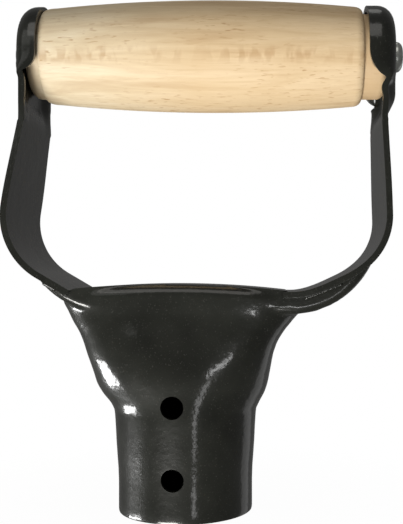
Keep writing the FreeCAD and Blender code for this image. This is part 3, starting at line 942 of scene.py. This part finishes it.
    def rounded(self, height: float, most: float) -> float:
        """How much the mouth's rounding takes off at a height."""
        return most * (1 - min(1.0, height / self.mouth_rise)) ** 2

    def hull(self, skin: Skin) -> list[list[int]]:
        """Add the outside's closed loops, and return them with the lid's first row last."""
        levels = [0.0, 0.25, 0.8, 2.5, 5.0, 9.0, 13.0, 17.0, 21.0, 25.0, 28.0]
        levels += [29.0 + 0.6 * i for i in range(22)] + [43.5, 45.5, 47.5, self.first_bent]
        halves = [self.ring(z, 0.0, self.rounded(z, self.mouth_round[0])) for z in levels]
        for step in range(1, self.bent_rows + 1):
            bent = 1 - (1 - step / self.bent_rows) ** self.crowding
            halves.append(self.ring(self.first_bent, bent))
        loops = []
        for points in halves:
            front = skin.row(points)
            rear = skin.row((x, -y, z) for x, y, z in points[1:-1])
            loops.append(front + rear[::-1])
        for low, high in zip(loops, loops[1:]):
            skin.bridge(low, high, True)
        self.lid(skin, loops[-1], halves[-1])
        return loops

    def lid(self, skin: Skin, loop: list[int], points: list[Point], across: int = 12) -> None:
        """Close the top with rows from its front edge to its rear edge."""
        half = self.columns // 2
        ladder = [loop[: half + 1]]
        for step in range(1, across):
            share = 1 - 2 * step / across
            middle = skin.row((x, y * share, z) for x, y, z in points[1:-1])
            ladder.append([loop[0]] + middle + [loop[half]])
        ladder.append([loop[0]] + loop[half + 1:][::-1] + [loop[half]])
        for low, high in zip(ladder, ladder[1:]):
            skin.bridge(low, high, False)

    def build(self) -> bpy.types.Object:
        """Make the shell, still without its fixing holes."""
        skin = Skin()
        loops = self.hull(skin)
        inner = []
        for height in (0.0, 0.25, 0.8, 9.0, 20.0, 30.0, 33.0, 36.5, 39.5, 44.0, 50.0, 56.0, 60.5):
            inset = self.wall - self.rounded(height, self.mouth_round[1])
            inner.append(skin.row(self.bore_ring(height, inset)))
        skin.bridge(loops[0], inner[0], True)
        for low, high in zip(inner, inner[1:]):
            skin.bridge(low, high, True)
        skin.faces.append(tuple(inner[-1]))
        item = skin.piece("socket_shell_visual", merge=0.002)
        mark_sharp(item, 40)
        item.data.materials.append(self.paint)
        return item

    def pierce(self, item: bpy.types.Object, holes: Iterable[dict]) -> None:
        """Cut the round fixing holes through the front wall.

        Args:
            item: The shell.
            holes: The record's mounts of the holes, each with pos_m and dims.
        """
        for hole in holes:
            x, _, z = hole["pos_m"]
            bpy.ops.mesh.primitive_cylinder_add(
                vertices=96, radius=hole["dims"]["r_mm"] * MM, depth=12 * MM,
                location=(x, -21 * MM, z), rotation=(math.pi / 2, 0, 0),
            )
            cutter = bpy.context.object
            cut = item.modifiers.new("hole", "BOOLEAN")
            cut.object = cutter
            cut.solver = "EXACT"
            settle(item)
            bpy.data.objects.remove(cutter)
        mark_sharp(item, 40)


def lathe(name: str, profile: Sequence[Spot], axis: float, turns: int = 96) -> bpy.types.Object:
    """Turn a closed (X, radius) profile about the grip's axis.

    Args:
        name: The object's name.
        profile: Points round the section; they may touch radius 0.
        axis: Height of the axis in millimetres.
        turns: How many steps the circle has.

    Returns:
        The closed object.
    """
    skin = Skin()
    rows = []
    for step in range(turns):
        turn = 2 * math.pi * step / turns
        rows.append(
            skin.row((x, -r * math.cos(turn), axis + r * math.sin(turn)) for x, r in profile)
        )
    for index in range(turns):
        skin.bridge(rows[index], rows[(index + 1) % turns], True)
    item = skin.piece(name, merge=0.0005)
    mark_sharp(item, 35)
    return item


def quarter(start: Spot, end: Spot, steps: int = 10) -> list[Spot]:
    """A quarter ellipse in a lathe profile, leaving its start along the radius.

    Args:
        start: First (X, radius).
        end: Last (X, radius).
        steps: How many pieces it has.

    Returns:
        The curve's points, both ends included.
    """
    points = []
    for step in range(steps + 1):
        turn = math.pi / 2 * step / steps
        along, out = 1 - math.cos(turn), math.sin(turn)
        points.append((lerp(start[0], end[0], along), lerp(start[1], end[1], out)))
    return points


@dataclass
class Grip:
    """The turned beech bar with a rounded shoulder and a spigot at each end.

    Attributes:
        axis: Height of the bar's axis.
        left_end: X of the left spigot's end.
        right_end: X of the right spigot's end.
        left_shoulder: X where the barrel starts at the left.
        right_shoulder: X where it ends at the right.
        wood: The bar's material.
        barrel_centre: X of the thickest place.
        barrel_sweep: Radius of the barrel's shallow arc.
        left_round: Length of the left shoulder's round.
        right_round: Length of the right one's.
        foot_radius: Radius where a round meets its spigot.
    """

    axis: float
    left_end: float
    right_end: float
    left_shoulder: float
    right_shoulder: float
    wood: bpy.types.Material
    barrel_radius: float = 16.7
    barrel_centre: float = 8.9
    barrel_sweep: float = 480.0
    left_round: float = 3.6
    right_round: float = 2.8
    foot_radius: float = 13.2
    spigot_radius: float = 12.7
    spigot_round: float = 2.5
    bore: float = 2.56
    barrel_steps: int = 60

    def barrel_at(self, x: float) -> float:
        """Radius of the barrel at X, a very shallow arc."""
        rise = math.sqrt(self.barrel_sweep**2 - (x - self.barrel_centre) ** 2)
        return self.barrel_radius - self.barrel_sweep + rise

    def build(self) -> bpy.types.Object:
        """Make the bar and set it in place of its CAD node."""
        low, high = self.left_shoulder + self.left_round, self.right_shoulder - self.right_round
        neck, rise = self.spigot_radius, self.spigot_round
        along = [lerp(low, high, i / self.barrel_steps) for i in range(1, self.barrel_steps)]
        left_foot = quarter((self.left_shoulder, self.foot_radius), (low, self.barrel_at(low)), 14)
        right_foot = quarter(
            (self.right_shoulder, self.foot_radius), (high, self.barrel_at(high)), 14
        )
        profile = [
            (self.left_end, self.bore),
            *quarter((self.left_end, neck - rise), (self.left_end + rise, neck)),
            (self.left_shoulder, neck),
            *left_foot,
            *((x, self.barrel_at(x)) for x in along),
            *right_foot[::-1],
            (self.right_shoulder, neck),
            *quarter((self.right_end, neck - rise), (self.right_end - rise, neck))[::-1],
            (self.right_end, self.bore),
        ]
        item = lathe("grip_visual", profile, self.axis, 128)
        item.data.materials.append(self.wood)
        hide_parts("grip")
        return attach(item, "grip")


@dataclass
class Rivet:
    """The long rivet through the bar, with its low head, peened tail and washer."""

    axis: float
    left_face: float
    right_face: float
    zinc: bpy.types.Material
    shank: float = 2.5
    head_radius: float = 4.6
    head_height: float = 3.2
    head_round: Spot = (2.1, 1.9)
    tail_radius: float = 3.9
    tail_height: float = 1.5
    tail_round: float = 1.1
    burr_radius: float = 6.0
    burr_sheet: float = 1.0
    burr_chamfer: float = 0.25

    def build(self) -> list[bpy.types.Object]:
        """Make the rivet and its washer in place of their CAD nodes."""
        head = self.right_face + self.head_height
        tail_foot = self.left_face - self.burr_sheet
        tail = tail_foot - self.tail_height
        (dome, fall), turn = self.head_round, self.tail_round
        profile = [
            (tail, 0.0),
            *quarter((tail, self.tail_radius - turn), (tail + turn, self.tail_radius)),
            (tail_foot, self.tail_radius), (tail_foot, self.shank),
            (self.right_face, self.shank), (self.right_face, self.head_radius),
            *quarter((head, self.head_radius - dome), (head - fall, self.head_radius))[::-1],
            (head, 0.0),
        ]
        rivet = lathe("rivet_visual", profile, self.axis)
        washer_profile = [
            (tail_foot, self.shank), (tail_foot, self.burr_radius - self.burr_chamfer),
            (tail_foot + self.burr_chamfer, self.burr_radius),
            (self.left_face, self.burr_radius), (self.left_face, self.shank),
        ]
        washer = lathe("rivet_burr_visual", washer_profile, self.axis)
        for item, node in ((rivet, "rivet"), (washer, "rivet_burr")):
            item.data.materials.append(self.zinc)
            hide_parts(node)
            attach(item, "frame")
        return [rivet, washer]


@dataclass
class WeldBead:
    """A row of overlapping weld ripples along one straight line.

    Attributes:
        name: The piece's name.
        node: The CAD node it stands for.
        start: First ripple, in millimetres.
        end: Last ripple.
        size: Half width, half depth and half height of one ripple.
        paint: The bead's material.
        pitch: Distance between ripples.
        seed: Seed of the ripples' small differences.
        unevenness: Largest of those differences, as a share of the size.
    """

    name: str
    node: str
    start: Point
    end: Point
    size: Point
    paint: bpy.types.Material
    pitch: float = 1.0
    seed: int = 1
    unevenness: float = 0.1

    def tree(self) -> tuple[bpy.types.GeometryNodeTree, dict[str, str]]:
        """Build the node tree that strews the ripples, with its inputs' identifiers."""
        tree = bpy.data.node_groups.new(self.name + "_ripples", "GeometryNodeTree")
        face = tree.interface
        keys = {}
        for label, kind in (
            ("Ripples", "NodeSocketInt"), ("Start", "NodeSocketVector"),
            ("Step", "NodeSocketVector"), ("Ripple Size", "NodeSocketVector"),
            ("Seed", "NodeSocketInt"), ("Paint", "NodeSocketMaterial"),
        ):
            keys[label] = face.new_socket(label, in_out="INPUT", socket_type=kind).identifier
        face.new_socket("Geometry", in_out="OUTPUT", socket_type="NodeSocketGeometry")
        add = tree.nodes.new
        inputs, output = add("NodeGroupInput"), add("NodeGroupOutput")
        line, ball = add("GeometryNodeMeshLine"), add("GeometryNodeMeshUVSphere")
        strew, realize = add("GeometryNodeInstanceOnPoints"), add("GeometryNodeRealizeInstances")
        vary, scale = add("FunctionNodeRandomValue"), add("ShaderNodeVectorMath")
        dress, smooth = add("GeometryNodeSetMaterial"), add("GeometryNodeSetShadeSmooth")
        ball.inputs["Segments"].default_value = 28
        ball.inputs["Rings"].default_value = 16
        ball.inputs["Radius"].default_value = 1.0
        vary.data_type = "FLOAT_VECTOR"
        vary.inputs[0].default_value = (1.0 - self.unevenness,) * 3
        vary.inputs[1].default_value = (1.0 + self.unevenness,) * 3
        scale.operation = "MULTIPLY"
        for source, given, target, taken in (
            (inputs, "Ripples", line, "Count"), (inputs, "Start", line, "Start Location"),
            (inputs, "Step", line, "Offset"), (inputs, "Seed", vary, "Seed"),
            (inputs, "Ripple Size", scale, 0), (vary, 0, scale, 1),
            (line, "Mesh", strew, "Points"), (ball, "Mesh", strew, "Instance"),
            (scale, "Vector", strew, "Scale"), (strew, "Instances", realize, "Geometry"),
            (realize, "Geometry", smooth, "Geometry"), (smooth, "Geometry", dress, "Geometry"),
            (inputs, "Paint", dress, "Material"), (dress, "Geometry", output, "Geometry"),
        ):
            tree.links.new(source.outputs[given], target.inputs[taken])
        return tree, keys

    def build(self) -> bpy.types.Object:
        """Make the bead and set it in place of its CAD node."""
        length = math.dist(self.start, self.end)
        count = max(2, round(length / self.pitch) + 1)
        step = [(b - a) / (count - 1) * MM for a, b in zip(self.start, self.end)]
        mesh = bpy.data.meshes.new(self.name)
        item = bpy.data.objects.new(self.name, mesh)
        bpy.context.scene.collection.objects.link(item)
        tree, keys = self.tree()
        ripples = item.modifiers.new("ripples", "NODES")
        ripples.node_group = tree
        for label, value in (
            ("Ripples", count), ("Start", [c * MM for c in self.start]), ("Step", step),
            ("Ripple Size", [c * MM for c in self.size]), ("Seed", self.seed),
            ("Paint", self.paint),
        ):
            ripples[keys[label]] = value
        settle(item)
        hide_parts(self.node)
        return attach(item, "frame")


@dataclass(frozen=True)
class Lamp:
    """One soft rectangular light that looks at the object.

    Attributes:
        name: The lamp's name.
        distance: From its aim, in millimetres.
        azimuth: Degrees from the front, turning towards +X.
        elevation: Degrees above the horizon.
        size: Width and height in millimetres.
        radiance: How bright its face is; 1 is plain white.
        colour: Its tint.
        aim: The point it looks at, in millimetres.
    """

    name: str
    distance: float
    azimuth: float
    elevation: float
    size: Spot
    radiance: float
    colour: Colour = (1.0, 1.0, 1.0)
    aim: Point = (0, 0, 40)

    def build(self) -> bpy.types.Object:
        """Hang the lamp."""
        data = bpy.data.lights.new(self.name, "AREA")
        data.shape = "RECTANGLE"
        data.size, data.size_y = (value * MM for value in self.size)
        data.energy = self.radiance * math.pi * data.size * data.size_y
        data.color = self.colour
        item = bpy.data.objects.new(self.name, data)
        bpy.context.scene.collection.objects.link(item)
        turn, rise = math.radians(self.azimuth), math.radians(self.elevation)
        way = Vector(
            (math.sin(turn) * math.cos(rise), -math.cos(turn) * math.cos(rise), math.sin(rise))
        )
        item.location = (Vector(self.aim) + way * self.distance) * MM
        item.rotation_euler = (-way).to_track_quat("-Z", "Y").to_euler()
        item.visible_camera = False
        return item


@dataclass
class Studio:
    """White surroundings, a white floor that keeps the shadow, soft lamps and the camera.

    Attributes:
        lamps: The lamps.
        surround: Brightness of the even light from all sides.
        floor_height: Z of the floor.
        floor_half: Half the floor's size.
        shade_height: Z of the disc that shades the socket's mouth.
        mouth: Its radius.
        fade: Distances in metres between which the floor turns plain white.
        eye: Where the camera stands.
        lens: Its focal length on a 36 mm sensor.
        shift: Its lens shift.
    """

    lamps: tuple[Lamp, ...]
    surround: float = 0.112
    floor_height: float = -0.3
    floor_half: float = 3000.0
    shade_height: float = -0.25
    mouth: float = 19.3
    fade: Spot = (0.03, 0.11)
    eye: Point = (26.3, -275.0, 70.9)
    lens: float = 61.8
    shift: Spot = (-0.1345, 0.0248)

    def build(self) -> None:
        """Set up everything round the object."""
        self.sky()
        self.floor()
        self.shade()
        for lamp in self.lamps:
            lamp.build()
        self.camera()

    def sky(self) -> None:
        """Light the scene evenly and show plain white behind it."""
        world = bpy.data.worlds.new("surround")
        nodes = Nodes(world)
        seen = nodes.add("ShaderNodeBackground", Color=WHITE, Strength=1.0)
        warm = (1.0, 0.99, 0.97, 1.0)
        lit = nodes.add("ShaderNodeBackground", Color=warm, Strength=self.surround)
        path = nodes.add("ShaderNodeLightPath").outputs["Is Camera Ray"]
        mix = nodes.add("ShaderNodeMixShader", path, lit.outputs[0], seen.outputs[0])
        nodes.add("ShaderNodeOutputWorld", mix.outputs[0])
        bpy.context.scene.world = world

    def floor(self) -> None:
        """Lay a white floor just under the socket's mouth."""
        skin = Skin()
        far, z = self.floor_half, self.floor_height
        low = skin.row([(-far, -far, z), (far, -far, z)])
        high = skin.row([(-far, far, z), (far, far, z)])
        skin.bridge(low, high, False)
        item = skin.piece("floor")
        material = bpy.data.materials.new("floor_white")
        nodes = Nodes(material)
        matt = nodes.add("ShaderNodeBsdfDiffuse", Color=(0.9, 0.9, 0.9, 1.0))
        white = nodes.add("ShaderNodeEmission", Color=WHITE, Strength=1.0)
        here = nodes.add("ShaderNodeTexCoord").outputs["Object"]
        away = nodes.add("ShaderNodeVectorMath", here, operation="LENGTH").outputs["Value"]
        fade = nodes.add(
            "ShaderNodeMapRange", away,
            From_Min=self.fade[0], From_Max=self.fade[1], To_Min=0.98, To_Max=1.0,
        )
        path = nodes.add("ShaderNodeLightPath").outputs["Is Camera Ray"]
        both = nodes.add("ShaderNodeMath", fade.outputs["Result"], path, operation="MULTIPLY")
        mix = nodes.add(
            "ShaderNodeMixShader", both.outputs[0], matt.outputs[0], white.outputs[0]
        )
        nodes.add("ShaderNodeOutputMaterial", mix.outputs[0])
        item.data.materials.append(material)
        item.visible_glossy = False
        item.visible_shadow = False

    def shade(self) -> None:
        """Lay a black disc under the socket's mouth, so that no light comes up through it."""
        bpy.ops.mesh.primitive_circle_add(
            vertices=64, radius=self.mouth * MM, fill_type="NGON",
            location=(0, 0, self.shade_height * MM),
        )
        item = bpy.context.object
        item.name = "shade"
        nodes = Finish("shade_black")
        nodes.feed(Base_Color=(0.002, 0.002, 0.002, 1.0), Specular_IOR_Level=0.0)
        item.data.materials.append(nodes.material)

    def camera(self) -> None:
        """Stand the camera where the reference view was taken from."""
        data = bpy.data.cameras.new("camera")
        data.lens = self.lens
        data.sensor_width = 36.0
        data.clip_start = 0.01
        data.clip_end = 50.0
        item = bpy.data.objects.new("camera", data)
        bpy.context.scene.collection.objects.link(item)
        item.location = [c * MM for c in self.eye]
        item.rotation_euler = (math.pi / 2, 0.0, 0.0)
        data.shift_x, data.shift_y = self.shift
        bpy.context.scene.camera = item


@dataclass
class HandGrip:
    """The whole grip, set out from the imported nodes' boxes and the record.

    Attributes:
        paint: Material of the frame.
        wood: Material of the bar.
        zinc: Material of the rivet and its washer.
        pieces: The pieces made so far.
        cup_room: From a spigot's end to the outside of its cup.
        shoulders: From the left and the right cup's face to the barrel's ends.
        bead_ends: How far inside its box a bead's first and last ripple lie.
        bead_place: Unsigned Y of an arm's bead, and its drop below the strip's outside.
    """

    paint: bpy.types.Material
    wood: bpy.types.Material
    zinc: bpy.types.Material
    pieces: list[bpy.types.Object] = field(default_factory=list)
    cup_room: float = 2.2
    shoulders: Spot = (6.5, 9.4)
    bead_ends: float = 0.9
    bead_place: Spot = (15.7, 0.45)

    @staticmethod
    def box(node: str) -> tuple[Vector, Vector]:
        """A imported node's corners in millimetres."""
        low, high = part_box(node)
        return low / MM, high / MM

    def build(self) -> None:
        """Make every piece."""
        grip_low, grip_high = self.box("grip")
        axis = (grip_low.z + grip_high.z) / 2
        left, right = -(grip_low.x - self.cup_room), grip_high.x + self.cup_room
        left_dip = (32.5, self.box("left_arm")[0].z)
        right_dip = (32.0, self.box("right_arm")[0].z)
        lines = {
            Side.LEFT: ArmLine(Side.LEFT, left_dip, (4.5, 77.2), 20.8, 1.8, left, axis),
            Side.RIGHT: ArmLine(
                Side.RIGHT, right_dip, (-1.5, 74.7), 19.0, 3.0, right, axis, sag=1.25, hidden=2.5
            ),
        }
        self.press(lines)
        left_skirts = {Edge.FRONT: 7.0, Edge.REAR: 7.0}
        right_skirts = {Edge.FRONT: 9.0, Edge.REAR: 12.0}
        arms = (
            Arm(lines[Side.LEFT], 6.4, left_skirts, 4.5, self.paint, arch_squash=0.94),
            Arm(lines[Side.RIGHT], 8.2, right_skirts, 9.0, self.paint),
        )
        self.pieces += [arm.build() for arm in arms]
        shoulders = self.shoulders[0] - left, right - self.shoulders[1]
        self.pieces.append(Grip(axis, grip_low.x, grip_high.x, *shoulders, self.wood).build())
        self.pieces += Rivet(axis, -left, right, self.zinc).build()
        self.weld(lines)

    def press(self, lines: dict[Side, ArmLine]) -> None:
        """Make the shell with its fixing holes, in place of its CAD node."""
        ears = {
            Side.LEFT: Ear((32.6, 62.5), (38.2, 66.3), (43.4, 73.0)),
            Side.RIGHT: Ear((32.0, 59.4), (47.0, 64.4), (56.4, 77.2)),
        }
        shell = FrameShell(lines, ears, self.paint, crown=68.3)
        body = shell.build()
        mounts = frame["record"]["mounts"]
        shell.pierce(body, [mount for mount in mounts if mount["name"].endswith("fixing_hole")])
        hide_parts("socket_shell")
        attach(body, "frame")
        self.pieces.append(body)

    def weld(self, lines: dict[Side, ArmLine]) -> None:
        """Lay the seam's bead and the four beads under the arms' edges."""
        low, high = self.box("seam_weld")
        ends = (0.0, 19.9, low.z + 1.0), (0.0, 21.0, high.z - 1.2)
        beads = [
            WeldBead(
                "seam_weld_visual", "seam_weld", *ends, (1.7, 0.75, 0.95), self.paint, 1.05, 7
            )
        ]
        depth, drop = self.bead_place
        for side in Side:
            for edge in Edge:
                node = "%s_%s_weld" % (side.name.lower(), edge.name.lower())
                near, far = sorted(abs(corner.x) for corner in self.box(node))
                ends = [
                    (side.value * reach, edge.value * depth, lines[side].underside(reach) - drop)
                    for reach in (near + self.bead_ends, far - self.bead_ends)
                ]
                seed = 3 + side.value + 5 * edge.value
                beads.append(
                    WeldBead(
                        node + "_visual", node, *ends, (0.8, 0.8, 0.7), self.paint, 0.4, seed, 0.02
                    )
                )
        self.pieces += [bead.build() for bead in beads]


LAMPS = (
    Lamp("key", 900, -26, -44, (420, 300), 21.5, (1.0, 0.985, 0.95), (0, 0, 137)),
    Lamp("overhead", 900, -10, 52, (800, 520), 1.2, (1.0, 0.97, 0.92), (0, 0, 100)),
    Lamp("left_high", 900, -45, 29, (900, 480), 0.5, (1.0, 1.0, 0.96), (-43, 0, 135)),
    Lamp("top_rear", 900, 163, 68, (300, 260), 0.8, (1.0, 1.0, 0.97), (0, 0, 145)),
    Lamp("left_window", 800, -94, -26, (400, 110), 22.0),
    Lamp("left_slit", 600, -99, -15, (8, 300), 0.8),
    Lamp("right_strip", 520, 19, -14, (40, 128), 3.6),
    Lamp("right_bar", 80, 21, 0, (26, 7), 8.0, aim=(11, -20, 43)),
    Lamp("right_wall", 600, 127, -14, (260, 420), 0.35),
)


def main() -> None:
    """Build the object and its studio, and log each piece's polygon count."""
    logging.basicConfig(level=logging.INFO, format="%(name)s: %(message)s")
    bpy.context.scene.view_settings.view_transform = "Standard"
    grip = HandGrip(StovePaint().material(), BeechWood().material(), ZincPlate().material())
    grip.build()
    Studio(LAMPS).build()
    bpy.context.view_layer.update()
    for item in grip.pieces:
        LOG.info("%s: %d polygons", item.name, len(item.data.polygons))


if __name__ == "__main__":
    main()
